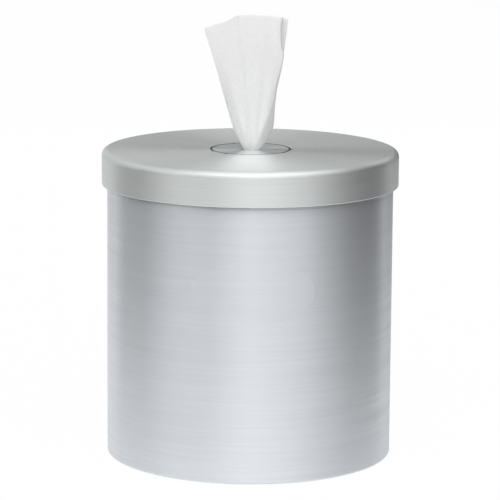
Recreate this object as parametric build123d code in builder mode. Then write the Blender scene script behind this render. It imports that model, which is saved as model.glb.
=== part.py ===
from build123d import *

import os
from math import radians, sin, tan

# Countertop wipes dispenser: a steel drum with a lift-off lid, a plastic liner that holds a
# centre-pull roll of wipes, and a twist-lock port in the lid that the wipes are pulled through.
# Millimetres, +Z up, origin on the counter under the middle of the drum.

# ---- overall sizes ----
drum_radius = 120.0  # outside of the drum wall
drum_sheet = 0.8
roll_height = 203.0  # width of the web of wipes
headspace = 39.4  # roll to the top of the lid
lid_overhang = 4.5  # lid skirt outside the drum wall
lid_sheet = 0.8
lid_depth = 29.4  # top of the lid to the lower edge of its skirt
lid_shoulder_radius = 5.3
lid_hem_radius = 1.0  # edge of the skirt, folded inwards on itself
port_radius = 34.0  # opening in the middle of the lid

# ---- clearances ----
seat_gap = 0.3  # under a piece that rests on a curved or soft seat
slip_gap = 0.3  # radial, between pieces that lift or turn past each other
snug_gap = 0.1  # between pieces fixed to each other at a curved face
roll_gap = 8.2  # roll to the liner at its floor
liner_drum_gap = 1.6  # liner to the rolled rim of the drum

# ---- drum ----
rim_curl_radius = 2.2  # drum mouth, rolled inwards
rim_curl_turn = 180.0  # degrees
sill_radius = 2.2  # drum bottom, bent inwards
sill_width = 8.0
base_height = 8.0  # lower edge of the drum to the underside of the base pan
pan_corner = 2.0  # corner of the pan bent in two halves
pan_raise = 2.0  # stiffening step of the base pan
pan_raise_inset = 26.0  # step inside the circle of feet
pan_step_run = 4.0

# ---- feet ----
foot_count = 4
foot_inset = 24.0  # middle of a foot to the outside of the drum
foot_radius = 9.0
foot_proud = 1.5  # foot below the lower edge of the drum
foot_taper = 4.0  # degrees
foot_recess_radius = 4.8
foot_recess_depth = 5.4
foot_screw_radius = 2.0
foot_screw_head_radius = 3.8
foot_screw_head_height = 2.4
screw_head_taper = 15.0  # degrees
foot_nut_flats = 7.0
foot_nut_height = 3.0
foot_screw_end = 0.8  # screw past the nut

# ---- liner pail ----
liner_wall = 1.6
liner_floor = 1.8
liner_draft = 1.0  # degrees
liner_corner = 7.0  # bevel between floor and wall
liner_flange_inset = 1.4  # flange inside the drum wall
liner_base_gap = 1.4  # liner above the foot screws
liner_notch_count = 2
liner_notch_radius = 14.0
liner_notch_depth = 4.0  # thumb notch into the flange

# ---- roll of wipes and the wipe being pulled ----
roll_core_radius = 19.0
strand_radius = 6.3  # web gathered into a rope
strand_length = 195.0  # rope from the top of the lid down into the core
wipe_neck_height = 2.0  # rope above the lid before the wipe opens out

# ---- moulded ring and gasket inside the lid ----
lid_ring_inset = 0.6  # ring inside the start of the lid's shoulder
lid_ring_height = 2.0
lid_ring_lip_gap = 2.6  # lip of the ring to the mouth of the liner
lid_ring_lip_wall = 1.8
lid_ring_lip_height = 9.0
gasket_height = 1.8
gasket_inset = 0.6  # gasket inside the edge of the liner's flange
gasket_overlap = 0.8  # gasket past the mouth of the liner

# ---- port in the lid: fixed seat ----
lug_count = 3
lug_direction = -21.0  # degrees, middle of the first pair of keys and of the first ledge
key_spread = 15.0  # degrees, each side of that middle
key_reach = 1.7  # key beyond the edge of the opening
key_width = 3.0
collar_wall = 1.6
seat_flange_reach = 12.0  # flange beyond the edge of the opening
seat_flange_height = 2.5
seat_barrel_wall = 3.0
seat_barrel_tail = 3.4  # barrel below the bayonet tabs
ledge_drop = 2.0  # ledges below the web of the insert
ledge_reach = 2.4
ledge_height = 2.5
ledge_angle = 52.0
stud_radius = 1.5
stud_reach = 7.0  # studs beyond the edge of the opening
stud_end = 1.1  # stud past the nut
seat_nut_flats = 5.5
seat_nut_height = 2.4

# ---- port in the lid: twist-out insert ----
plate_sheet = 0.8
plate_bore_gap = 2.1  # bore of the plate to the rope
plate_bend = 1.2  # bend into the lip, in two halves
plate_lip_depth = 2.6
web_height = 2.5
web_gap = 0.5  # web to the collar
barrel_wall = 2.4
barrel_tail = 3.9  # barrel below the bayonet tabs
tab_height = 2.5
tab_angle = 46.0
tab_stop_angle = 4.0  # rib that meets the end of the ledge when the insert is home
tab_stop_gap = 0.6  # degrees, stop rib to the ledge end
seal_section = 1.4
diaphragm_inset = 1.0  # diaphragm inside the edge of the guide
diaphragm_height = 1.6
slit_count = 6
slit_length = 4.0
slit_width = 0.5
guide_flange_radius = 21.0
guide_flange_height = 2.5
guide_throat_gap = 1.7  # throat of the guide to the rope
guide_flare = 4.0
guide_wall = 1.8
guide_drop = 7.5  # throat to mouth
guide_screw_inset = 4.0
guide_screw_radius = 1.1
guide_screw_head_radius = 2.1
guide_screw_head_height = 1.5
guide_screw_tip_gap = 0.6

# ---- label place on the drum ----
label_width = 105.0  # along the wall
label_height = 52.0
label_drop = 70.1  # middle of the label below the lid skirt
label_thickness = 0.15
label_gap = 0.05
label_turn = 1.5  # degrees about the drum's axis

# ---- heights worked out from the sizes above, from the counter up ----
drum_foot = foot_proud
pan_under = drum_foot + base_height
pan_top = pan_under + drum_sheet
foot_screw_top = pan_top + foot_nut_height + foot_screw_end
liner_under = foot_screw_top + liner_base_gap
liner_floor_top = liner_under + liner_floor
roll_foot = liner_floor_top + seat_gap
lid_top = roll_foot + roll_height + headspace
lid_under = lid_top - lid_sheet
skirt_foot = lid_top - lid_depth
gasket_top = lid_under - lid_ring_height
liner_top = gasket_top - gasket_height - seat_gap
drum_rim = liner_top - liner_wall - seat_gap
seat_flange_foot = lid_under - seat_flange_height
plate_under = lid_top - plate_sheet
web_foot = plate_under - web_height
diaphragm_foot = web_foot - diaphragm_height
guide_flange_foot = diaphragm_foot - guide_flange_height
ledge_top = web_foot - ledge_drop
ledge_foot = ledge_top - ledge_height
tab_top = ledge_foot - slip_gap
tab_foot = tab_top - tab_height

# ---- radii worked out from the sizes above ----
foot_circle_radius = drum_radius - foot_inset
foot_hole_radius = foot_screw_radius + slip_gap
liner_mouth_radius = drum_radius - 2 * rim_curl_radius - liner_drum_gap - liner_wall
liner_taper_run = (liner_top - liner_under) * tan(radians(liner_draft))
liner_flange_radius = drum_radius - liner_flange_inset
roll_radius = liner_mouth_radius - liner_taper_run - roll_gap
lid_radius = drum_radius + lid_overhang
collar_bore_radius = port_radius - collar_wall
stud_circle_radius = port_radius + stud_reach
guide_screw_circle_radius = guide_flange_radius - guide_screw_inset
guide_throat_radius = strand_radius + guide_throat_gap
lug_directions = [lug_direction + 360.0 / lug_count * turn for turn in range(lug_count)]
key_directions = [facing + side * key_spread for facing in lug_directions for side in (-1, 1)]


def ring_sector(inner, outer, angle, facing):
    """A flat piece of ring, as wide as the angle and centred on the direction it faces."""
    with BuildSketch() as sector:
        with BuildLine():
            near = CenterArc((0, 0), inner, facing - angle / 2, angle)
            far = CenterArc((0, 0), outer, facing - angle / 2, angle)
            Line(near @ 0, far @ 0)
            Line(near @ 1, far @ 1)
        make_face()
    return sector.sketch


def nut_blank(flats):
    """A hexagon as wide across its flats as the nut."""
    with BuildSketch() as blank:
        RegularPolygon(radius=flats / 2, side_count=6, major_radius=False)
    return blank.sketch


# ======================== drum ========================
# One strip of sheet turned about Z: rolled rim, straight wall, bottom edge bent inwards.
with BuildPart() as drum_wall:
    with BuildSketch(Plane.XZ):
        with BuildLine():
            rim_curl = CenterArc(
                (drum_radius - rim_curl_radius, drum_rim - rim_curl_radius),
                rim_curl_radius,
                rim_curl_turn,
                -rim_curl_turn,
            )
            wall_line = Line(rim_curl @ 1, (drum_radius, drum_foot + sill_radius))
            sill_bend = CenterArc(wall_line @ 1 - (sill_radius, 0), sill_radius, 0, -90)
            Line(sill_bend @ 1, sill_bend @ 1 - (sill_width, 0))
            offset(amount=drum_sheet, side=Side.RIGHT, closed=True)
        make_face()
    revolve(axis=Axis.Z)

# Pressed pan, its flange fixed to the inside of the wall.
pan_flange_radius = drum_radius - drum_sheet - snug_gap
pan_raise_radius = foot_circle_radius - pan_raise_inset
with BuildPart() as drum_base:
    with BuildSketch(Plane.XZ):
        with BuildLine():
            Polyline(
                (pan_flange_radius, drum_foot + sill_radius),
                (pan_flange_radius, pan_top - pan_corner),
                (pan_flange_radius - pan_corner, pan_top),
                (pan_raise_radius + pan_step_run, pan_top),
                (pan_raise_radius, pan_top + pan_raise),
                (0, pan_top + pan_raise),
            )
            offset(amount=drum_sheet, kind=Kind.INTERSECTION, side=Side.LEFT, closed=True)
        make_face()
    revolve(axis=Axis.Z)
    with BuildSketch(Plane.XY.offset(pan_top)):
        with PolarLocations(foot_circle_radius, foot_count, start_angle=45):
            Circle(foot_hole_radius)
    extrude(amount=-drum_sheet, mode=Mode.SUBTRACT)

# Clear oval film on the front of the wall, left bare.
film_radius = drum_radius + label_gap
label_centre_height = skirt_foot - label_drop
with BuildPart() as label_film:
    with BuildSketch(Plane.XY.offset(label_centre_height - label_height / 2)):
        Circle(film_radius + label_thickness)
        Circle(film_radius, mode=Mode.SUBTRACT)
    extrude(amount=label_height)
    with BuildSketch(Plane.XZ.rotated((0, 0, label_turn))):
        with Locations((0, label_centre_height)):
            Ellipse(film_radius * sin(label_width / 2 / film_radius), label_height / 2)
    extrude(amount=2 * film_radius, mode=Mode.INTERSECT)

# ======================== feet ========================
# Rubber feet under the pan, each held by a screw from below with a nut above the pan.
with BuildPart() as rubber_feet:
    with BuildSketch(Plane.XY.offset(pan_under)):
        with PolarLocations(foot_circle_radius, foot_count, start_angle=45):
            Circle(foot_radius)
    extrude(amount=-pan_under, taper=foot_taper)
    with Locations(Plane.XY.rotated((180, 0, 0))):
        with PolarLocations(foot_circle_radius, foot_count, start_angle=45):
            CounterBoreHole(foot_hole_radius, foot_recess_radius, foot_recess_depth, pan_under)

with BuildPart() as foot_screws:
    with BuildSketch(Plane.XY.offset(foot_recess_depth)):
        with PolarLocations(foot_circle_radius, foot_count, start_angle=45):
            Circle(foot_screw_head_radius)
    extrude(amount=-foot_screw_head_height, taper=screw_head_taper)
    with BuildSketch(Plane.XY.offset(foot_recess_depth)):
        with PolarLocations(foot_circle_radius, foot_count, start_angle=45):
            Circle(foot_screw_radius)
    extrude(amount=foot_screw_top - foot_recess_depth)

with BuildPart() as foot_nuts:
    with BuildSketch(Plane.XY.offset(pan_top)):
        with PolarLocations(foot_circle_radius, foot_count, start_angle=45):
            add(nut_blank(foot_nut_flats))
            Circle(foot_screw_radius + snug_gap, mode=Mode.SUBTRACT)
    extrude(amount=foot_nut_height)

# ======================== liner pail ========================
# Tapered pail that hangs by its flange on the rolled rim of the drum.
with BuildPart() as liner_pail:
    with BuildSketch(Plane.XZ) as pail_outside:
        with BuildLine():
            Polyline(
                (0, liner_under),
                (liner_mouth_radius + liner_wall - liner_taper_run, liner_under),
                (liner_mouth_radius + liner_wall, liner_top - liner_wall),
                (liner_flange_radius, liner_top - liner_wall),
                (liner_flange_radius, liner_top),
                (0, liner_top),
                close=True,
            )
        make_face()
        outer_corner = pail_outside.vertices().group_by(Axis.Y)[0].sort_by(Axis.X)[-1]
        chamfer(outer_corner, liner_corner)
    revolve(axis=Axis.Z)
    with BuildSketch(Plane.XZ) as pail_inside:
        with BuildLine():
            Polyline(
                (0, liner_floor_top),
                (liner_mouth_radius - liner_taper_run, liner_floor_top),
                (liner_mouth_radius, liner_top),
                (0, liner_top),
                close=True,
            )
        make_face()
        inner_corner = pail_inside.vertices().group_by(Axis.Y)[0].sort_by(Axis.X)[-1]
        chamfer(inner_corner, liner_corner - liner_wall / 2)
    revolve(axis=Axis.Z, mode=Mode.SUBTRACT)
    with BuildSketch(Plane.XY.offset(liner_top)):
        with PolarLocations(
            liner_flange_radius + liner_notch_radius - liner_notch_depth, liner_notch_count
        ):
            Circle(liner_notch_radius)
    extrude(amount=-liner_wall, mode=Mode.SUBTRACT)

# ======================== wipes ========================
with BuildPart() as wipe_roll:
    with BuildSketch(Plane.XY.offset(roll_foot)):
        Circle(roll_radius)
        Circle(roll_core_radius, mode=Mode.SUBTRACT)
    extrude(amount=roll_height)

# Rope of wipes from the core of the roll up through the port.
with BuildPart() as wipe_strand:
    with BuildSketch(Plane.XY.offset(lid_top - strand_length)):
        Circle(strand_radius)
    extrude(amount=strand_length + wipe_neck_height)

# Leading wipe, opening from the neck into a leaning fan: height over the lid, offset of its
# middle to the side, half width and half depth of each section.
wipe_sections = [
    (wipe_neck_height, 0.9, strand_radius, strand_radius),
    (8.0, 1.6, 12.6, 9.5),
    (18.0, 2.6, 17.4, 12.0),
    (45.0, -0.4, 21.6, 12.5),
    (80.0, -1.6, 29.6, 11.0),
    (103.0, -2.8, 34.4, 9.0),
    (112.0, 4.0, 24.0, 6.0),
]
with BuildPart() as wipe_sheet:
    for height, lean, half_width, half_depth in wipe_sections:
        with BuildSketch(Plane.XY.offset(lid_top + height)):
            with Locations((lean, 0)):
                Ellipse(half_width, half_depth)
    loft()

# ======================== lid ========================
# Spun cover: flat top, rounded shoulder, straight skirt with its edge hemmed inwards.
with BuildPart() as lid_cover:
    with BuildSketch(Plane.XZ):
        with BuildLine():
            top_line = Line((port_radius, lid_top), (lid_radius - lid_shoulder_radius, lid_top))
            shoulder = CenterArc(
                top_line @ 1 - (0, lid_shoulder_radius), lid_shoulder_radius, 90, -90
            )
            skirt_line = Line(shoulder @ 1, (lid_radius, skirt_foot + lid_hem_radius))
            CenterArc(skirt_line @ 1 - (lid_hem_radius, 0), lid_hem_radius, 0, -180)
            offset(amount=lid_sheet, side=Side.RIGHT, closed=True)
        make_face()
    revolve(axis=Axis.Z)
    # key slots in the edge of the opening
    with BuildSketch(Plane.XY.offset(lid_top)):
        for direction in key_directions:
            with Locations(Rotation(0, 0, direction)):
                with Locations(((port_radius + key_reach) / 2, 0)):
                    Rectangle(port_radius + key_reach, key_width)
    extrude(amount=-lid_sheet, mode=Mode.SUBTRACT)

with BuildPart() as lid_studs:
    with BuildSketch(Plane.XY.offset(lid_under)):
        with PolarLocations(stud_circle_radius, lug_count, start_angle=lug_direction):
            Circle(stud_radius)
    extrude(amount=-(seat_flange_height + seat_nut_height + stud_end))

lid_ring_radius = lid_radius - lid_shoulder_radius - lid_ring_inset
lid_ring_lip_radius = liner_mouth_radius - lid_ring_lip_gap
with BuildPart() as lid_ring:
    with BuildSketch(Plane.XY.offset(lid_under)):
        Circle(lid_ring_radius)
        Circle(lid_ring_lip_radius - lid_ring_lip_wall, mode=Mode.SUBTRACT)
    extrude(amount=-lid_ring_height)
    with BuildSketch(Plane.XY.offset(gasket_top)):
        Circle(lid_ring_lip_radius)
        Circle(lid_ring_lip_radius - lid_ring_lip_wall, mode=Mode.SUBTRACT)
    extrude(amount=lid_ring_height - lid_ring_lip_height)

with BuildPart() as lid_gasket:
    with BuildSketch(Plane.XY.offset(gasket_top)):
        Circle(liner_flange_radius - gasket_inset)
        Circle(liner_mouth_radius - gasket_overlap, mode=Mode.SUBTRACT)
    extrude(amount=-gasket_height)

# Seat fixed in the opening: collar flush with the lid, flange under it, bayonet ledges.
key_seat_radius = port_radius + key_reach - snug_gap
with BuildPart() as port_seat:
    with BuildSketch(Plane.XY.offset(lid_top)):
        Circle(port_radius - snug_gap)
        for direction in key_directions:
            with Locations(Rotation(0, 0, direction)):
                with Locations((key_seat_radius / 2, 0)):
                    Rectangle(key_seat_radius, key_width - 2 * snug_gap)
    extrude(amount=-lid_sheet)
    with BuildSketch(Plane.XY.offset(lid_under)):
        Circle(port_radius + seat_flange_reach)
    extrude(amount=-seat_flange_height)
    with BuildSketch(Plane.XY.offset(seat_flange_foot)):
        Circle(collar_bore_radius + seat_barrel_wall)
    extrude(amount=tab_foot - seat_barrel_tail - seat_flange_foot)
    with BuildSketch(Plane.XY.offset(lid_top)):
        Circle(collar_bore_radius)
    extrude(amount=tab_foot - seat_barrel_tail - lid_top, mode=Mode.SUBTRACT)
    with BuildSketch(Plane.XY.offset(ledge_top)):
        for direction in lug_directions:
            ledge_root_radius = collar_bore_radius + snug_gap
            add(ring_sector(collar_bore_radius - ledge_reach, ledge_root_radius, ledge_angle, direction))
    extrude(amount=-ledge_height)
    with BuildSketch(Plane.XY.offset(lid_under)):
        with PolarLocations(stud_circle_radius, lug_count, start_angle=lug_direction):
            Circle(stud_radius + slip_gap)
    extrude(amount=-seat_flange_height, mode=Mode.SUBTRACT)

with BuildPart() as seat_nuts:
    with BuildSketch(Plane.XY.offset(seat_flange_foot)):
        with PolarLocations(stud_circle_radius, lug_count, start_angle=lug_direction):
            add(nut_blank(seat_nut_flats))
            Circle(stud_radius + snug_gap, mode=Mode.SUBTRACT)
    extrude(amount=-seat_nut_height)

# ======================== port insert ========================
# Steel plate set into the insert, its bore drawn down into a smooth lip.
plate_bore_radius = strand_radius + plate_bore_gap
with BuildPart() as port_plate:
    with BuildSketch(Plane.XZ):
        with BuildLine():
            Polyline(
                (plate_bore_radius, lid_top - plate_lip_depth),
                (plate_bore_radius, lid_top - plate_bend),
                (plate_bore_radius + plate_bend, lid_top),
                (collar_bore_radius - slip_gap, lid_top),
            )
            offset(amount=plate_sheet, kind=Kind.INTERSECTION, side=Side.RIGHT, closed=True)
        make_face()
    revolve(axis=Axis.Z)

# Moulded body: web under the plate with a seal groove, barrel, three bayonet tabs with stops.
web_radius = collar_bore_radius - web_gap
web_bore_radius = plate_bore_radius + plate_bend + plate_sheet / 2
barrel_radius = collar_bore_radius - ledge_reach - slip_gap
seal_outer_radius = collar_bore_radius - snug_gap
seal_groove_radius = seal_outer_radius - seal_section - snug_gap
seal_groove_height = seal_section + 2 * snug_gap
tab_root_radius = barrel_radius - snug_gap
tab_radius = collar_bore_radius - slip_gap
tab_lead = tab_angle / 2
tab_trail = ledge_angle / 2 + tab_stop_gap + tab_stop_angle
stop_facing = tab_trail - tab_stop_angle / 2
with BuildPart() as port_body:
    with BuildSketch(Plane.XY.offset(plate_under)):
        Circle(web_radius)
        Circle(web_bore_radius, mode=Mode.SUBTRACT)
    extrude(amount=-web_height)
    with BuildSketch(Plane.XY.offset(web_foot)):
        Circle(barrel_radius)
        Circle(barrel_radius - barrel_wall, mode=Mode.SUBTRACT)
    extrude(amount=tab_foot - barrel_tail - web_foot)
    # groove for the seal
    with BuildSketch(Plane.XY.offset(plate_under - (web_height - seal_groove_height) / 2)):
        Circle(web_radius + snug_gap)
        Circle(seal_groove_radius, mode=Mode.SUBTRACT)
    extrude(amount=-seal_groove_height, mode=Mode.SUBTRACT)
    # tabs below the ledges, each with a stop rib standing past the ledge's end
    with BuildSketch(Plane.XY.offset(tab_top)):
        for direction in lug_directions:
            tab_facing = direction + (tab_trail - tab_lead) / 2
            add(ring_sector(tab_root_radius, tab_radius, tab_lead + tab_trail, tab_facing))
    extrude(amount=-tab_height)
    with BuildSketch(Plane.XY.offset(tab_top)):
        for direction in lug_directions:
            add(ring_sector(tab_root_radius, tab_radius, tab_stop_angle, direction + stop_facing))
    extrude(amount=ledge_height)
    # pilot holes for the guide screws
    with BuildSketch(Plane.XY.offset(web_foot)):
        with PolarLocations(guide_screw_circle_radius, lug_count):
            Circle(guide_screw_radius + snug_gap)
    extrude(amount=web_height, mode=Mode.SUBTRACT)

with BuildPart() as port_seal:
    with BuildSketch(Plane.XY.offset(plate_under - (web_height - seal_section) / 2)):
        Circle(seal_outer_radius)
        Circle(seal_outer_radius - seal_section, mode=Mode.SUBTRACT)
    extrude(amount=-seal_section)

# Silicone disc with a star of slits around the hole that the wipes are pulled through.
slit_reach = strand_radius + slip_gap + slit_length
with BuildPart() as star_diaphragm:
    with BuildSketch(Plane.XY.offset(web_foot)):
        Circle(guide_flange_radius - diaphragm_inset)
        Circle(strand_radius + slip_gap, mode=Mode.SUBTRACT)
        with PolarLocations(slit_reach / 2, slit_count):
            Rectangle(slit_reach, slit_width, mode=Mode.SUBTRACT)
        with PolarLocations(guide_screw_circle_radius, lug_count):
            Circle(guide_screw_radius + slip_gap, mode=Mode.SUBTRACT)
    extrude(amount=-diaphragm_height)

# Bell-mouthed guide that clamps the diaphragm and leads the rope of wipes into it.
with BuildPart() as throat_guide:
    with BuildSketch(Plane.XZ):
        with BuildLine():
            TangentArc(
                (guide_throat_radius, diaphragm_foot),
                (guide_throat_radius + guide_flare, diaphragm_foot - guide_drop),
                tangent=(0, -1),
            )
            offset(amount=guide_wall, side=Side.LEFT, closed=True)
        make_face()
    revolve(axis=Axis.Z)
    with BuildSketch(Plane.XY.offset(diaphragm_foot)):
        Circle(guide_flange_radius)
        Circle(guide_throat_radius + guide_wall, mode=Mode.SUBTRACT)
    extrude(amount=-guide_flange_height)
    with BuildSketch(Plane.XY.offset(guide_flange_foot)):
        with PolarLocations(guide_screw_circle_radius, lug_count):
            Circle(guide_screw_radius + slip_gap)
    extrude(amount=guide_flange_height, mode=Mode.SUBTRACT)

with BuildPart() as guide_screws:
    with BuildSketch(Plane.XY.offset(guide_flange_foot)):
        with PolarLocations(guide_screw_circle_radius, lug_count):
            Circle(guide_screw_head_radius)
    extrude(amount=-guide_screw_head_height, taper=screw_head_taper)
    with BuildSketch(Plane.XY.offset(guide_flange_foot)):
        with PolarLocations(guide_screw_circle_radius, lug_count):
            Circle(guide_screw_radius)
    extrude(amount=plate_under - guide_screw_tip_gap - guide_flange_foot)

# ======================== files ========================
pieces = {
    "drum_wall": drum_wall,
    "drum_base": drum_base,
    "label_film": label_film,
    "rubber_feet": rubber_feet,
    "foot_screws": foot_screws,
    "foot_nuts": foot_nuts,
    "liner_pail": liner_pail,
    "wipe_roll": wipe_roll,
    "lid_cover": lid_cover,
    "lid_studs": lid_studs,
    "lid_ring": lid_ring,
    "lid_gasket": lid_gasket,
    "port_seat": port_seat,
    "seat_nuts": seat_nuts,
    "port_plate": port_plate,
    "port_body": port_body,
    "port_seal": port_seal,
    "star_diaphragm": star_diaphragm,
    "throat_guide": throat_guide,
    "guide_screws": guide_screws,
    "wipe_strand": wipe_strand,
    "wipe_sheet": wipe_sheet,
}
os.makedirs("parts", exist_ok=True)
for name, piece in pieces.items():
    piece.part.label = name
    export_step(piece.part, f"parts/{name}.step")
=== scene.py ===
import math

import bpy
import numpy as np
from mathutils import Matrix, Vector


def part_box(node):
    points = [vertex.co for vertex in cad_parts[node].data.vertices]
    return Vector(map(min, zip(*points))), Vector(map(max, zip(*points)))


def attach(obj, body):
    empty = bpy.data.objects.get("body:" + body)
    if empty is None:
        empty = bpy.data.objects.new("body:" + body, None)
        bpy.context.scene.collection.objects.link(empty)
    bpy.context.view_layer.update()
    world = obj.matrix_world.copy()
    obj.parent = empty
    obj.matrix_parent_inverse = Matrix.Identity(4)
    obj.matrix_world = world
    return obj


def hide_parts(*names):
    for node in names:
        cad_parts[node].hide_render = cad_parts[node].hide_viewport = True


# A countertop wipes dispenser: brushed steel drum and lid, a port in the lid, and the white
# wipe pulled up through it. Shapes are worked out in millimetres and stored in metres.

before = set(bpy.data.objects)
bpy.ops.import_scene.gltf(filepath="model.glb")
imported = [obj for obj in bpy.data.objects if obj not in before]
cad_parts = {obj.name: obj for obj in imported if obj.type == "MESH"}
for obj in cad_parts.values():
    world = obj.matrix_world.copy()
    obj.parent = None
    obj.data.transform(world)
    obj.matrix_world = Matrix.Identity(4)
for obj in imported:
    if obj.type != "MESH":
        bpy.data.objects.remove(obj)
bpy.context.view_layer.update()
MM = 0.001


# ======================== mesh helpers ========================
def grid_surface(name, points, goes_round=False, uv=None):
    """A mesh of four-sided faces over a grid of points (rows, columns, xyz) in millimetres.
    Face (i, j) joins point (i, j) to its next neighbours along the row and the column, and
    where the grid goes round, the last column joins the first."""
    rows, columns = points.shape[:2]
    spans = columns if goes_round else columns - 1
    i, j = np.meshgrid(np.arange(rows - 1), np.arange(spans), indexing="ij")
    k = (j + 1) % columns
    below, above = i * columns, (i + 1) * columns
    faces = np.stack([below + j, below + k, above + k, above + j], -1)
    corners = faces.reshape(-1)
    mesh = bpy.data.meshes.new(name)
    mesh.vertices.add(rows * columns)
    mesh.vertices.foreach_set("co", (points * MM).astype(np.float32).ravel())
    mesh.loops.add(corners.size)
    mesh.loops.foreach_set("vertex_index", corners.astype(np.int32))
    mesh.polygons.add(corners.size // 4)
    mesh.polygons.foreach_set("loop_start", np.arange(0, corners.size, 4, dtype=np.int32))
    if uv is not None:
        layer = mesh.uv_layers.new(name="cloth")
        layer.data.foreach_set("uv", uv.reshape(-1, 2)[corners].astype(np.float32).ravel())
    mesh.update(calc_edges=True)
    mesh.polygons.foreach_set("use_smooth", np.ones(corners.size // 4, dtype=bool))
    piece = bpy.data.objects.new(name, mesh)
    bpy.context.scene.collection.objects.link(piece)
    return piece


def smooth_rise(value, low, high):
    """0 below low, 1 above high, and the curve 3t^2 - 2t^3 between them."""
    t = np.clip((value - low) / (high - low), 0, 1)
    return t * t * (3 - 2 * t)


# ======================== material helpers ========================
class Finish:
    """A material's node tree, with short calls for the nodes that the finishes share."""

    def __init__(self, name):
        self.material = bpy.data.materials.new(name)
        self.material.use_nodes = True
        self.tree = self.material.node_tree
        self.shader = self.tree.nodes["Principled BSDF"]
        self.place = self.tree.nodes.new("ShaderNodeTexCoord").outputs["Object"]

    def node(self, kind, inputs=(), **settings):
        """A new node, with its settings made and its sockets fed with values or links."""
        made = self.tree.nodes.new(kind)
        for key, value in settings.items():
            setattr(made, key, value)
        for socket, value in dict(inputs).items():
            self.feed(made.inputs[socket], value)
        return made

    def feed(self, socket, value):
        if isinstance(value, bpy.types.NodeSocket):
            self.tree.links.new(value, socket)
        else:
            socket.default_value = value

    def sum_of(self, kind, a, b=0.0, c=0.0):
        return self.node("ShaderNodeMath", {0: a, 1: b, 2: c}, operation=kind).outputs[0]

    def vector(self, x, y, z):
        return self.node("ShaderNodeCombineXYZ", {0: x, 1: y, 2: z}).outputs[0]

    def noise(self, vector, scale=1.0, detail=2.0, roughness=0.5):
        inputs = {"Vector": vector, "Scale": scale, "Detail": detail, "Roughness": roughness}
        return self.node("ShaderNodeTexNoise", inputs).outputs["Fac"]

    def spread(self, value, low, high, start=0.0, end=1.0):
        """The span from start to end drawn onto the span from low to high."""
        inputs = {"Value": value, "From Min": start, "From Max": end, "To Min": low, "To Max": high}
        return self.node("ShaderNodeMapRange", inputs).outputs["Result"]

    def shade(self, value, dark, light):
        """A colour between two, by a value from 0 to 1."""
        inputs = {"Factor": value, 6: (*dark, 1), 7: (*light, 1)}
        return self.node("ShaderNodeMix", inputs, data_type="RGBA").outputs[2]

    def bump(self, height, distance, strength=1.0):
        inputs = {"Height": height, "Distance": distance, "Strength": strength}
        return self.node("ShaderNodeBump", inputs).outputs["Normal"]

    def around_axis(self):
        """The place on the piece as x, y and z, and its distance from the drum's axis."""
        x, y, z = self.node("ShaderNodeSeparateXYZ", {0: self.place}).outputs
        flat = self.vector(x, y, 0.0)
        radius = self.node("ShaderNodeVectorMath", {0: flat}, operation="LENGTH").outputs["Value"]
        return x, y, z, radius

    def show(self, shader):
        output = self.tree.nodes["Material Output"]
        self.tree.links.new(shader, output.inputs["Surface"])

    def mix_in(self, share, other):
        """Shows the other shader in the given share, and the main one in the rest."""
        inputs = {0: share, 1: self.shader.outputs[0], 2: other}
        self.show(self.node("ShaderNodeMixShader", inputs).outputs[0])

    def set(self, **sockets):
        """Feeds the main shader. A socket goes by its name below, or else by its own name."""
        names = {"colour": "Base Color", "specular": "Specular IOR Level", "sheen": "Sheen Weight",
                 "aniso": "Anisotropic", "aniso_turn": "Anisotropic Rotation"}
        for key, value in sockets.items():
            name = names.get(key, key.capitalize())
            if isinstance(value, tuple):
                value = (*value, 1)
            self.feed(self.shader.inputs[name], value)


# for each layer of streaks: share of the stretch round the drum, pitch across it, and weight
STREAKS = ((1.0, 2600.0, 0.45), (0.7, 900.0, 0.33), (0.45, 330.0, 0.22))


def brushed_steel(name, colour, roughness, streak, around=14.0, aniso=1.0):
    """Sheet brushed in rings about the drum's axis. The streaks are noise drawn out along the
    rings: it changes quickly with height minus radius, and slowly with x and y."""
    finish = Finish(name)
    x, y, z, radius = finish.around_axis()
    across = finish.sum_of("SUBTRACT", z, radius)
    brushed = 0.0
    for share, pitch, weight in STREAKS:
        streaks = finish.vector(
            finish.sum_of("MULTIPLY", x, around * share),
            finish.sum_of("MULTIPLY", y, around * share),
            finish.sum_of("MULTIPLY", across, pitch),
        )
        brushed = finish.sum_of("MULTIPLY_ADD", finish.noise(streaks, detail=1.5), weight, brushed)
    even = finish.spread(brushed, 0.0, 1.0, 0.32, 0.68)
    dark = tuple(c * (1 - streak) for c in colour)
    light = tuple(min(1.0, c * (1 + streak)) for c in colour)
    tangent = finish.node("ShaderNodeTangent", direction_type="RADIAL", axis="Z").outputs[0]
    finish.set(
        colour=finish.shade(even, dark, light),
        metallic=1.0,
        roughness=finish.spread(even, roughness * 1.12, roughness * 0.88),
        aniso=aniso,
        aniso_turn=0.25,
        tangent=tangent,
        normal=finish.bump(brushed, 0.00002, 0.25),
    )
    return finish.material


def cast_grain(name, colour, roughness, grain=0.00003, scale=900.0, **extra):
    """Moulded or turned stock: a fine even grain in the bump, and a slow drift of shade."""
    finish = Finish(name)
    drift = finish.noise(finish.place, 22.0, 3.0)
    pores = finish.noise(finish.place, scale, 2.0)
    dark = tuple(c * 0.93 for c in colour)
    light = tuple(min(1.0, c * 1.07) for c in colour)
    finish.set(
        colour=finish.shade(finish.spread(drift, 0.0, 1.0, 0.35, 0.65), dark, light),
        roughness=finish.spread(pores, roughness * 0.9, roughness * 1.12, 0.3, 0.7),
        normal=finish.bump(pores, grain, 0.6),
        **extra,
    )
    return finish.material


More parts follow.
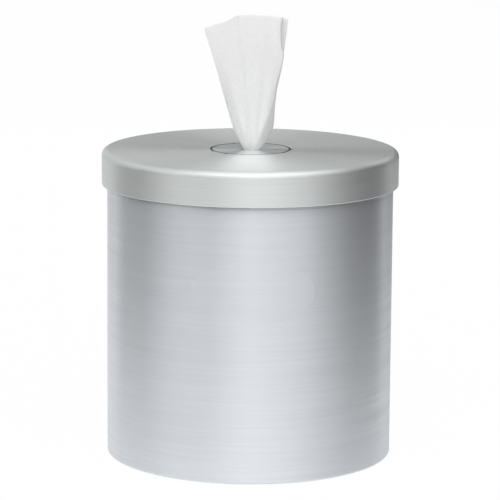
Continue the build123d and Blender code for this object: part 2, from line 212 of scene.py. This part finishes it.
def nonwoven(name, wound=False):
    """Soft white web: a mat of fine fibres laid mostly along its length. On cloth the fibres
    follow the piece's own map, and on the roll they follow its rings."""
    finish = Finish(name)
    if wound:
        x, y, z, radius = finish.around_axis()
        weave = finish.vector(
            finish.sum_of("MULTIPLY", x, 90.0),
            finish.sum_of("MULTIPLY", y, 90.0),
            finish.sum_of("MULTIPLY", finish.sum_of("ADD", radius, z), 1400.0),
        )
    else:
        cloth = finish.node("ShaderNodeUVMap", uv_map="cloth").outputs[0]
        stretch = {0: cloth, "Scale": (1500.0, 420.0, 1.0)}
        weave = finish.node("ShaderNodeMapping", stretch).outputs[0]
    fibres = finish.noise(weave, 1.0, 3.0, 0.6)
    mat = finish.noise(finish.place, 380.0, 2.0)
    height = finish.sum_of("ADD", fibres, mat)
    pale = finish.spread(height, 0.0, 1.0, 0.7, 1.3)
    finish.set(
        colour=finish.shade(pale, (0.86, 0.87, 0.865), (0.93, 0.93, 0.92)),
        roughness=0.92,
        specular=0.25,
        sheen=0.15,
        normal=finish.bump(height, 0.00012, 0.5),
    )
    if not wound:
        glow = finish.node("ShaderNodeBsdfTranslucent", {0: (0.93, 0.935, 0.93, 1)}).outputs[0]
        finish.mix_in(0.22, glow)
    return finish.material


def clear_film(name):
    """Thin clear film: nearly invisible, with a slight haze and a gloss of its own."""
    finish = Finish(name)
    ripple = finish.noise(finish.place, 60.0, 2.0)
    finish.set(
        colour=(0.86, 0.88, 0.89),
        roughness=finish.spread(ripple, 0.18, 0.3, 0.35, 0.65),
        alpha=0.05,
        normal=finish.bump(ripple, 0.0001, 0.3),
    )
    return finish.material


# ======================== finishes ========================
drum_steel = brushed_steel("drum_steel", (0.88, 0.914, 0.952), 0.40, 0.04)
# the lid and the drum are the same steel; the lid's colour is painted a little lighter, so that the
# skirt reads brighter than the drum below it
lid_steel = brushed_steel("lid_steel", (0.92, 0.955, 0.945), 0.48, 0.05, aniso=0.75)
plate_steel = brushed_steel("plate_steel", (0.79, 0.80, 0.81), 0.36, 0.04, around=40.0)
pan_steel = brushed_steel("pan_steel", (0.62, 0.63, 0.64), 0.38, 0.06)
# near-black steel for the lid's inside faces: its roughness is a duller mill finish, and its dark
# colour is painted shade
painted_shade_steel = cast_grain("painted_shade_steel", (0.20, 0.202, 0.207), 0.55, metallic=1.0)
zinc_steel = cast_grain("zinc_steel", (0.66, 0.67, 0.68), 0.3, 0.00001, 1500.0, metallic=1.0)
black_plastic = cast_grain("black_plastic", (0.022, 0.023, 0.025), 0.48, specular=0.45)
grey_plastic = cast_grain("grey_plastic", (0.20, 0.205, 0.21), 0.5, specular=0.45)
liner_plastic = cast_grain("liner_plastic", (0.16, 0.165, 0.17), 0.46, specular=0.45)
black_rubber = cast_grain("black_rubber", (0.02, 0.02, 0.02), 0.8, 0.00006, 700.0, specular=0.3)
foam_rubber = cast_grain("foam_rubber", (0.05, 0.05, 0.052), 0.93, 0.0002, 1500.0, specular=0.2)
silicone = cast_grain("silicone", (0.62, 0.63, 0.62), 0.42, 0.00002, 500.0, specular=0.4)
film = clear_film("film")
wipe_cloth = nonwoven("wipe_cloth")
roll_cloth = nonwoven("roll_cloth", wound=True)

node_finishes = {
    "drum_wall": drum_steel,
    "drum_base": pan_steel,
    "label_film": film,
    "rubber_feet": black_rubber,
    "foot_screws": zinc_steel,
    "foot_nuts": zinc_steel,
    "liner_pail": liner_plastic,
    "lid_cover": lid_steel,
    "lid_studs": zinc_steel,
    "lid_ring": grey_plastic,
    "lid_gasket": foam_rubber,
    "port_seat": black_plastic,
    "seat_nuts": zinc_steel,
    "port_plate": plate_steel,
    "port_body": grey_plastic,
    "port_seal": black_rubber,
    "star_diaphragm": silicone,
    "throat_guide": grey_plastic,
    "guide_screws": zinc_steel,
}
for node_name, material in node_finishes.items():
    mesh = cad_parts[node_name].data
    mesh.materials.clear()
    mesh.materials.append(material)


def shade_inside_faces(node_name, material, inwards=-0.3, downwards=-0.7):
    """Gives the faces that look down or towards the axis a material of their own, on the lid a
    near-black steel that is painted shade. A face counts when its normal's part away from the axis,
    or its part upwards, is below the given limit."""
    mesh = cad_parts[node_name].data
    normal, middle = np.empty((2, len(mesh.polygons), 3))
    mesh.polygons.foreach_get("normal", normal.reshape(-1))
    mesh.polygons.foreach_get("center", middle.reshape(-1))
    outwards = (normal[:, :2] * middle[:, :2]).sum(1) / np.hypot(middle[:, 0], middle[:, 1])
    inside = (outwards < inwards) | (normal[:, 2] < downwards)
    mesh.materials.append(material)
    mesh.polygons.foreach_set("material_index", inside.astype(np.int32))


# painted shade: the lid's downward and inward faces, the hem's underside with them, are near-black
# steel, so that the hem does not shine and the drum's wall below mirrors a dark band under the
# skirt
shade_inside_faces("lid_cover", painted_shade_steel)

# ======================== the wipe ========================
WEB = 203.0  # width of the web of wipes
OPEN_WIDTH = 68.0  # from edge to edge where the web stands open
GATHERED_EXTRA = 0.24  # share of length added to a level that is fully gathered
FIRST_LAYER, SECOND_LAYER, THIRD_WIDTH, FOURTH_LAYER = 30.0, 69.0, 46.0, 45.0  # when open
PLEAT, PLEAT_DRIFT = 29.0, 61.0  # one wave of the meander along the web, and of its unevenness
RIPPLE, RIPPLE_DRIFT = 12.7, 43.0
CLOTH = 0.22  # thickness
ROPE_RADIUS = 6.2
ROPE_FOOT = 65.0
ROPE_TOP = 259.0
SHEET_FOOT = 222.0
SHEET_TOP = 369.0
REAR_DROP = 1.2  # how much lower the layers at the back end
# the web's outline in front: its left and right edge, its depth, its free edge and its ridge
edge_height = np.array([222.0, 258.0, 259.7, 265.6, 277.5, 302.2, 321.2, 340.3, 360.2, 372.0])
edge_left = np.array([-5.6, -5.6, -5.8, -8.9, -14.4, -21.4, -26.3, -31.4, -37.1, -40.2])
edge_right_height = np.array([222.0, 258.0, 259.8, 264.8, 276.8, 294.1, 308.8, 329.7, 348.7, 370.0])
edge_right = np.array([6.6, 6.8, 7.9, 14.0, 19.4, 20.0, 21.4, 26.0, 28.6, 30.9])
depth_height = np.array([222.0, 259.0, 268.0, 278.0, 305.0, 340.0, 370.0])
half_depth = np.array([6.0, 6.2, 9.0, 11.2, 11.0, 7.4, 4.2])
top_place = np.array([-38.0, -31.5, -20.7, -16.2, -12.5, -0.8, 10.0, 19.9, 27.9, 31.0])
top_height = np.array([361.7, 364.3, 367.5, 369.9, 371.9, 372.8, 372.4, 371.5, 370.4, 369.3])
ridge_height = np.array([258.0, 262.0, 267.0, 279.0, 289.0, 302.0, 316.0])
ridge_place = np.array([4.5, 5.2, 6.4, 11.0, 14.8, 19.5, 24.0])
# place at the neck, place at the top, width, push back, and the share of it lost at the top
CREASES = (
    (5.0, 17.5, 4.5, 1.3, 0.35),
    (-2.0, -33.0, 4.5, -1.1, 0.9),
    (-2.5, -13.0, 3.0, 1.0, 0.8),
)


def softened(values, passes=12):
    """The same rows with each corner rounded off, by averaging with the neighbours."""
    for _ in range(passes):
        padded = np.concatenate([values[:1], values, values[-1:]])
        values = 0.25 * padded[:-2] + 0.5 * padded[1:-1] + 0.25 * padded[2:]
    return values


def uneven_wave(along, wave, drift, drift_wave, start):
    """A sine along the web, whose own length comes and goes with a second, longer sine."""
    drifting = drift * np.sin(2 * math.pi * along / drift_wave)
    return np.sin(2 * math.pi * (along / wave + drifting + start))


def meander(kept):
    """The swing in radians of a meander that keeps the given share of its length as width, and
    the depth of half its wave. The share is the mean cosine of the swing times a sine, and the
    depth is half a pleat times the mean sine of the same."""
    swing = np.linspace(0.0, 2.4, 60)
    heading = swing[:, None] * np.sin(np.linspace(0, math.pi, 90))[None, :]
    mean_cosine, mean_sine = np.cos(heading).mean(1), np.sin(heading).mean(1)
    deep = np.interp(kept, mean_cosine[::-1], swing[::-1])
    return deep, PLEAT / 2 * np.interp(deep, swing, mean_sine)


def fold_turns(height, along, length, open_share):
    """How far the web has turned into its second, third and fourth layer at each point, from 0
    to 1 for each, and the length of web in the third layer."""
    turn = 2.0 + 3.5 * open_share
    to_second = FIRST_LAYER * open_share
    to_third = to_second + SECOND_LAYER * open_share
    tail = FOURTH_LAYER + 4.0 * smooth_rise(height, 322.0, 350.0)
    to_fourth = length - tail * open_share
    turns = [smooth_rise(along, start - turn / 2, start + turn / 2)
             for start in (to_second, to_third, to_fourth)]
    return turns, to_fourth - to_third


def gathered_web(foot, head, rows, columns, seed):
    """A web gathered into a rope at its foot and opening into four folded layers at its head.
    Each level of the web is a line as long as the web is wide, and up to a quarter longer where
    it is gathered. It is found by adding up small steps whose direction is the fold angle plus a
    meander. The fold angle is half a turn in layers one and three, nothing in layers two and
    four, and turns smoothly between them. Lower down, the
    third layer takes in what the narrowing front and back let go: its swing is the one whose
    mean cosine is its width over its length. Low down, no layer reaches past the second. The
    first layer lies on the second, the others stand at set shares of the depth, and the third
    sways between the second and the fourth. Right of the ridge, every layer falls back in
    proportion to the distance past it."""
    rng = np.random.default_rng(seed)
    height = np.linspace(foot, head, rows)[:, None]
    left = softened(np.interp(height, edge_height, edge_left))
    right = softened(np.interp(height, edge_right_height, edge_right))
    depth = softened(np.interp(height, depth_height, half_depth))
    open_share = (right - left) / OPEN_WIDTH
    length = WEB * (1 + GATHERED_EXTRA * (1 - np.clip(open_share, 0, 1)))
    along = np.linspace(0.0, 1.0, columns)[None, :] * length
    (to_second, to_third, to_fourth), third = fold_turns(height, along, length, open_share)
    fold = math.pi * (1 - to_second + to_third - to_fourth)
    inside = to_third * (1 - to_fourth)
    deep, meander_depth = meander(np.clip(THIRD_WIDTH * open_share / third, 0.03, 1.0))

    # direction of each step along the web
    swell = 0.0
    for waves, weight in ((2, 0.5), (5, 0.35), (9, 0.25)):
        swell = swell + weight * np.cos(2 * math.pi * (waves * along / WEB + rng.random()))
    shallow = 0.2 * (0.6 + 0.4 * swell)
    pleats = uneven_wave(along, PLEAT, 0.1, PLEAT_DRIFT, rng.random())
    ripples = uneven_wave(along, RIPPLE, 0.15, RIPPLE_DRIFT, rng.random())
    bend = inside * deep + (1 - inside) * shallow
    heading = fold + bend * pleats + 0.6 * (1 - inside) * shallow * ripples
    step = length / (columns - 1)

    # across: the steps added up, then drawn onto the outline
    x = np.cumsum(np.cos(heading), axis=1) * step
    reach = np.where(to_third < 0.5, x, -WEB).max(1, keepdims=True)
    beyond = 9.0 * smooth_rise(height, 318.0, 340.0)
    x = np.minimum(x, reach + beyond)
    x = (x - x.min(1, keepdims=True)) / (np.ptp(x, axis=1)[:, None])
    side = 2 * x - 1
    x = left + x * (right - left)

    # in depth: the layers, the third layer's sway and the soft waves of the others
    flat_end = smooth_rise(height, 290.0, 350.0)
    lens = flat_end + (1 - flat_end) * np.sqrt(np.clip(1 - 0.86 * side**2, 0, 1))
    layer = -1 + 1.25 * to_third + 0.75 * to_fourth
    sway = np.cumsum(np.sin(bend * pleats), axis=1) * step
    sway = sway - (sway * inside).sum(1, keepdims=True) / inside.sum(1, keepdims=True)
    room = 0.55 * depth
    sway = inside * sway * np.minimum(1.0, room / np.maximum(meander_depth / 2, 0.1))
    soft = np.cumsum((1 - inside) * shallow * (pleats + 0.6 * ripples), axis=1) * step
    soft = 0.5 * (1 - inside) * (soft - soft.mean(1, keepdims=True))
    y = depth * layer * lens + 0.5 * to_second + np.clip(sway, -room, room) * lens + soft

    # the fall right of the ridge, and the creases in front
    past = x - np.interp(height, ridge_height, ridge_place)
    fall = 1.25 * (1 - smooth_rise(height, 296.0, 316.0)) * smooth_rise(height, 258.0, 266.0)
    y = y + fall * 0.5 * (past + np.sqrt(past**2 + 0.6))
    front = (1 - to_third) * smooth_rise(height, 262.0, 280.0)
    for place, width, push in creases(height):
        y = y + front * push * np.exp(-(((x - place) / width) ** 2))
    return x, y, height + 0 * x, WEB * along / length


def creases(height):
    """Soft creases down the front: for each, its place across, its width and how far it pushes
    the web back (or forward) at every height. Each runs straight from the neck to the top."""
    made = []
    share = (height - 262.0) / 108.0
    for foot_x, head_x, width, push, fade in CREASES:
        place = foot_x + (head_x - foot_x) * share
        made.append((place, width * (0.35 + 0.65 * share), push * (1 - fade * share)))
    return made


def into_rope(x, y, z):
    """Draws a section towards the axis, so that its radius r becomes r / (1 + (r / R)^6)^(1/6)
    where R is the rope's radius below the port and grows fast above it."""
    limit = ROPE_RADIUS + 60.0 * smooth_rise(z, ROPE_TOP - 3.0, ROPE_TOP + 26.0)
    middle = 0.9 * smooth_rise(z, ROPE_TOP - 8.0, ROPE_TOP)
    radius = np.hypot(x - middle, y)
    pull = 1 / (1 + (radius / limit) ** 6) ** (1 / 6)
    return middle + (x - middle) * pull, y * pull


def wipe_surface(name, foot, head, rows, columns, seed):
    """A stretch of the web from one height to another, as thin cloth. Where it ends above the
    port, its levels rise with the square of the height to meet the free edge."""
    x, y, z, along = gathered_web(foot, head, rows, columns, seed)
    x, y = into_rope(x, y, z)
    if head > ROPE_TOP:
        share = ((z - foot) / (head - foot)) ** 2
        rear = smooth_rise(y, -3.0, 6.0)
        z = z + share * (np.interp(x, top_place, top_height) - head - REAR_DROP * rear)
    uv = np.stack([along * MM, z * MM], -1)
    piece = grid_surface(name, np.stack([x, y, z], -1), uv=uv)
    thicken = piece.modifiers.new("thickness", "SOLIDIFY")
    thicken.thickness = CLOTH * MM
    thicken.offset = 0.0
    piece.data.materials.append(wipe_cloth)
    return piece


pulled_wipe = wipe_surface("pulled_wipe", SHEET_FOOT, SHEET_TOP, 110, 330, 5)
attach(pulled_wipe, "wipe")
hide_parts("wipe_sheet")

wipe_rope = wipe_surface("wipe_rope", ROPE_FOOT, SHEET_FOOT, 36, 240, 5)
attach(wipe_rope, "wipe")
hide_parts("wipe_strand")


# ======================== the roll ========================
def wound_roll(name, node, pitch=1.6):
    """A roll turned about the axis: up the outside, over the top from rim to core, down the
    core and back under. The top rises and falls with the spiral r / pitch minus the turn, so
    that each winding stands as a low ridge, and every few windings stand a little higher."""
    low, high = (np.array(c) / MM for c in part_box(node))
    outside, core, rim = high[0], 19.0, 1.5
    side_rows, top_rows, bore_rows, under_rows = 24, 330, 30, 24
    corner = np.linspace(0, math.pi / 2, 8)
    r = np.concatenate([
        np.full(side_rows, outside),
        outside - rim + rim * np.cos(corner),
        np.linspace(outside - rim, core + rim, top_rows)[1:-1],
        core + rim - rim * np.sin(corner),
        np.full(bore_rows, core),
        np.linspace(core, outside, under_rows)[1:-1],
    ])
    z = np.concatenate([
        np.linspace(low[2], high[2] - rim, side_rows),
        high[2] - rim + rim * np.sin(corner),
        np.full(top_rows - 2, high[2]),
        high[2] - rim + rim * np.cos(corner),
        np.linspace(high[2] - rim, low[2], bore_rows),
        np.full(under_rows - 2, low[2]),
    ])
    r, z = np.append(r, r[0]), np.append(z, z[0])
    turn = np.linspace(0, 2 * math.pi, 192, endpoint=False)[None, :]
    r, z = r[:, None], z[:, None]
    spiral = r / pitch - turn / (2 * math.pi)
    top = smooth_rise(z, high[2] - 0.6, high[2] - 0.05) * smooth_rise(r, core + 0.4, core + 2.0)
    top = top * (1 - smooth_rise(r, outside - 1.6, outside - 0.3))
    windings = 0.34 * np.abs(np.sin(math.pi * spiral)) ** 0.6
    uneven = 0.3 * (1 + np.sin(spiral * 0.83 + 2 * np.sin(turn)))
    drop = windings + uneven
    drop = drop + 0.25 * (1 + np.cos(3 * turn + r / 14))
    x, y = r * np.cos(turn), r * np.sin(turn)
    points = np.stack([x, y, z + 0 * turn - top * drop], -1)
    piece = grid_surface(name, points, goes_round=True)
    piece.data.materials.append(roll_cloth)
    return piece


roll = wound_roll("wound_roll", "wipe_roll")
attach(roll, "roll")
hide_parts("wipe_roll")


# ======================== studio ========================
SHELL_UP = np.array([0.0, 15.0, 32.0, 52.0, 75.0])
SHELL_TURN = np.array(
    [-180.0, -165, -150, -135, -120, -90, -60, -30, 0, 30, 60, 90, 120, 135, 150, 165, 180])
SHELL_GLOW = np.array([
    [0.42, 0.68, 0.59, 0.67, 0.20, 0.02, 0.24, 0.02,
     0.59, 0.33, 0.02, 0.02, 0.10, 0.48, 0.22, 0.07],
    [0.42, 0.97, 0.51, 0.57, 0.66, 0.57, 1.05, 0.59,
     0.54, 0.32, 0.34, 0.08, 0.02, 0.02, 0.18, 0.03],
    [0.02, 0.58, 0.58, 0.75, 0.88, 1.11, 1.00, 1.34,
     1.73, 1.48, 0.67, 0.46, 0.35, 0.75, 1.02, 0.92],
    [0.02, 0.02, 0.29, 0.52, 0.50, 0.40, 1.08, 2.12,
     2.20, 2.20, 1.89, 1.19, 0.28, 0.17, 0.18, 0.02],
    [0.74] * 16,
])
SHELL_GLOW = np.hstack([SHELL_GLOW, SHELL_GLOW[:, :1]])  # the last angle is the first again


def studio_shell(name, radius=4.0):
    """The soft boxes and flags round the table, as one round shell. Its glow is a table of
    brightness by the angle above the table and the angle round the drum (0 in front, growing
    to the right), joined by straight lines between the angles of the table."""
    bpy.ops.mesh.primitive_uv_sphere_add(segments=96, ring_count=48, radius=radius)
    shell = bpy.context.object
    shell.name = name
    place = np.empty(3 * len(shell.data.vertices))
    shell.data.vertices.foreach_get("co", place)
    x, y, z = place.reshape(-1, 3).T / radius
    turn = np.degrees(np.arctan2(x, -y))
    up = np.degrees(np.arcsin(np.clip(z, -1, 1)))
    by_row = np.stack([np.interp(turn, SHELL_TURN, row) for row in SHELL_GLOW])
    row = np.interp(up, SHELL_UP, np.arange(len(SHELL_UP)))
    low = np.minimum(row.astype(int), len(SHELL_UP) - 2)
    one = np.arange(row.size)
    glow = by_row[low, one] * (low + 1 - row) + by_row[low + 1, one] * (row - low)
    layer = shell.data.attributes.new("glow", "FLOAT", "POINT")
    layer.data.foreach_set("value", glow.astype(np.float32))
    finish = Finish(name)
    strength = finish.node("ShaderNodeAttribute", attribute_name="glow").outputs["Fac"]
    emit = finish.node("ShaderNodeEmission", {0: (1, 1, 1, 1), 1: strength}).outputs[0]
    finish.show(emit)
    shell.data.materials.append(finish.material)
    shell.visible_camera = False
    shell.visible_transmission = False
    shell.visible_shadow = False


def white_table(name, half_width, front, back):
    """The white table top. The camera sees it as white, straight on or through clear film. In
    a shiny surface it is mostly white, and keeps a share of the dispenser's shade."""
    under = -0.0002
    corners = np.array([[[-half_width, -front, under], [half_width, -front, under]],
                        [[-3 * half_width, back, under], [3 * half_width, back, under]]]) / MM
    table = grid_surface(name, corners)
    finish = Finish(name)
    finish.set(colour=(0.86, 0.86, 0.86), roughness=0.9, specular=0.1)
    glow = finish.node("ShaderNodeEmission", {0: (1, 1, 1, 1), 1: 1.0}).outputs[0]
    path = finish.node("ShaderNodeLightPath").outputs
    direct = finish.sum_of("MAXIMUM", path["Is Camera Ray"], path["Is Transmission Ray"])
    shiny = finish.sum_of("MULTIPLY", path["Is Glossy Ray"], 0.7)
    share = finish.sum_of("MAXIMUM", finish.sum_of("MULTIPLY", direct, 0.98), shiny)
    finish.mix_in(share, glow)
    table.data.materials.append(finish.material)


studio_shell("studio_shell")
white_table("white_table", 0.45, 0.5, 9.0)

world = bpy.data.worlds.new("white_room")
world.use_nodes = True
world.node_tree.nodes["Background"].inputs[0].default_value = (1, 1, 1, 1)
world.node_tree.nodes["Background"].inputs[1].default_value = 1.0
bpy.context.scene.world = world


def soft_box(name, place, width, depth, watts):
    """A soft light of that size, aimed at the middle of the dispenser, that no metal mirrors."""
    light = bpy.data.lights.new(name, "AREA")
    light.shape = "RECTANGLE"
    light.size, light.size_y, light.energy = width, depth, watts
    box = bpy.data.objects.new(name, light)
    box.location = place
    box.rotation_euler = (Vector((0, 0, 0.25)) - box.location).to_track_quat("-Z", "Y").to_euler()
    box.visible_camera = False
    box.visible_glossy = False
    bpy.context.scene.collection.objects.link(box)


soft_box("front_box", (0.15, -1.6, 0.9), 2.6, 0.8, 10.3)
soft_box("back_box", (0.3, 1.9, 0.9), 1.2, 0.8, 7.0)

# ======================== camera ========================
lens = bpy.data.cameras.new("camera")
lens.sensor_width = 36.0
lens.lens = 212.7
camera = bpy.data.objects.new("camera", lens)
camera.location = (0.00024, -2.44747, 0.63303)
tilt = Matrix.Rotation(math.radians(79.37), 3, "X") @ Matrix.Rotation(math.radians(0.43), 3, "Z")
camera.rotation_euler = tilt.to_euler()
bpy.context.scene.collection.objects.link(camera)
bpy.context.scene.camera = camera
bpy.context.scene.view_settings.view_transform = "Standard"
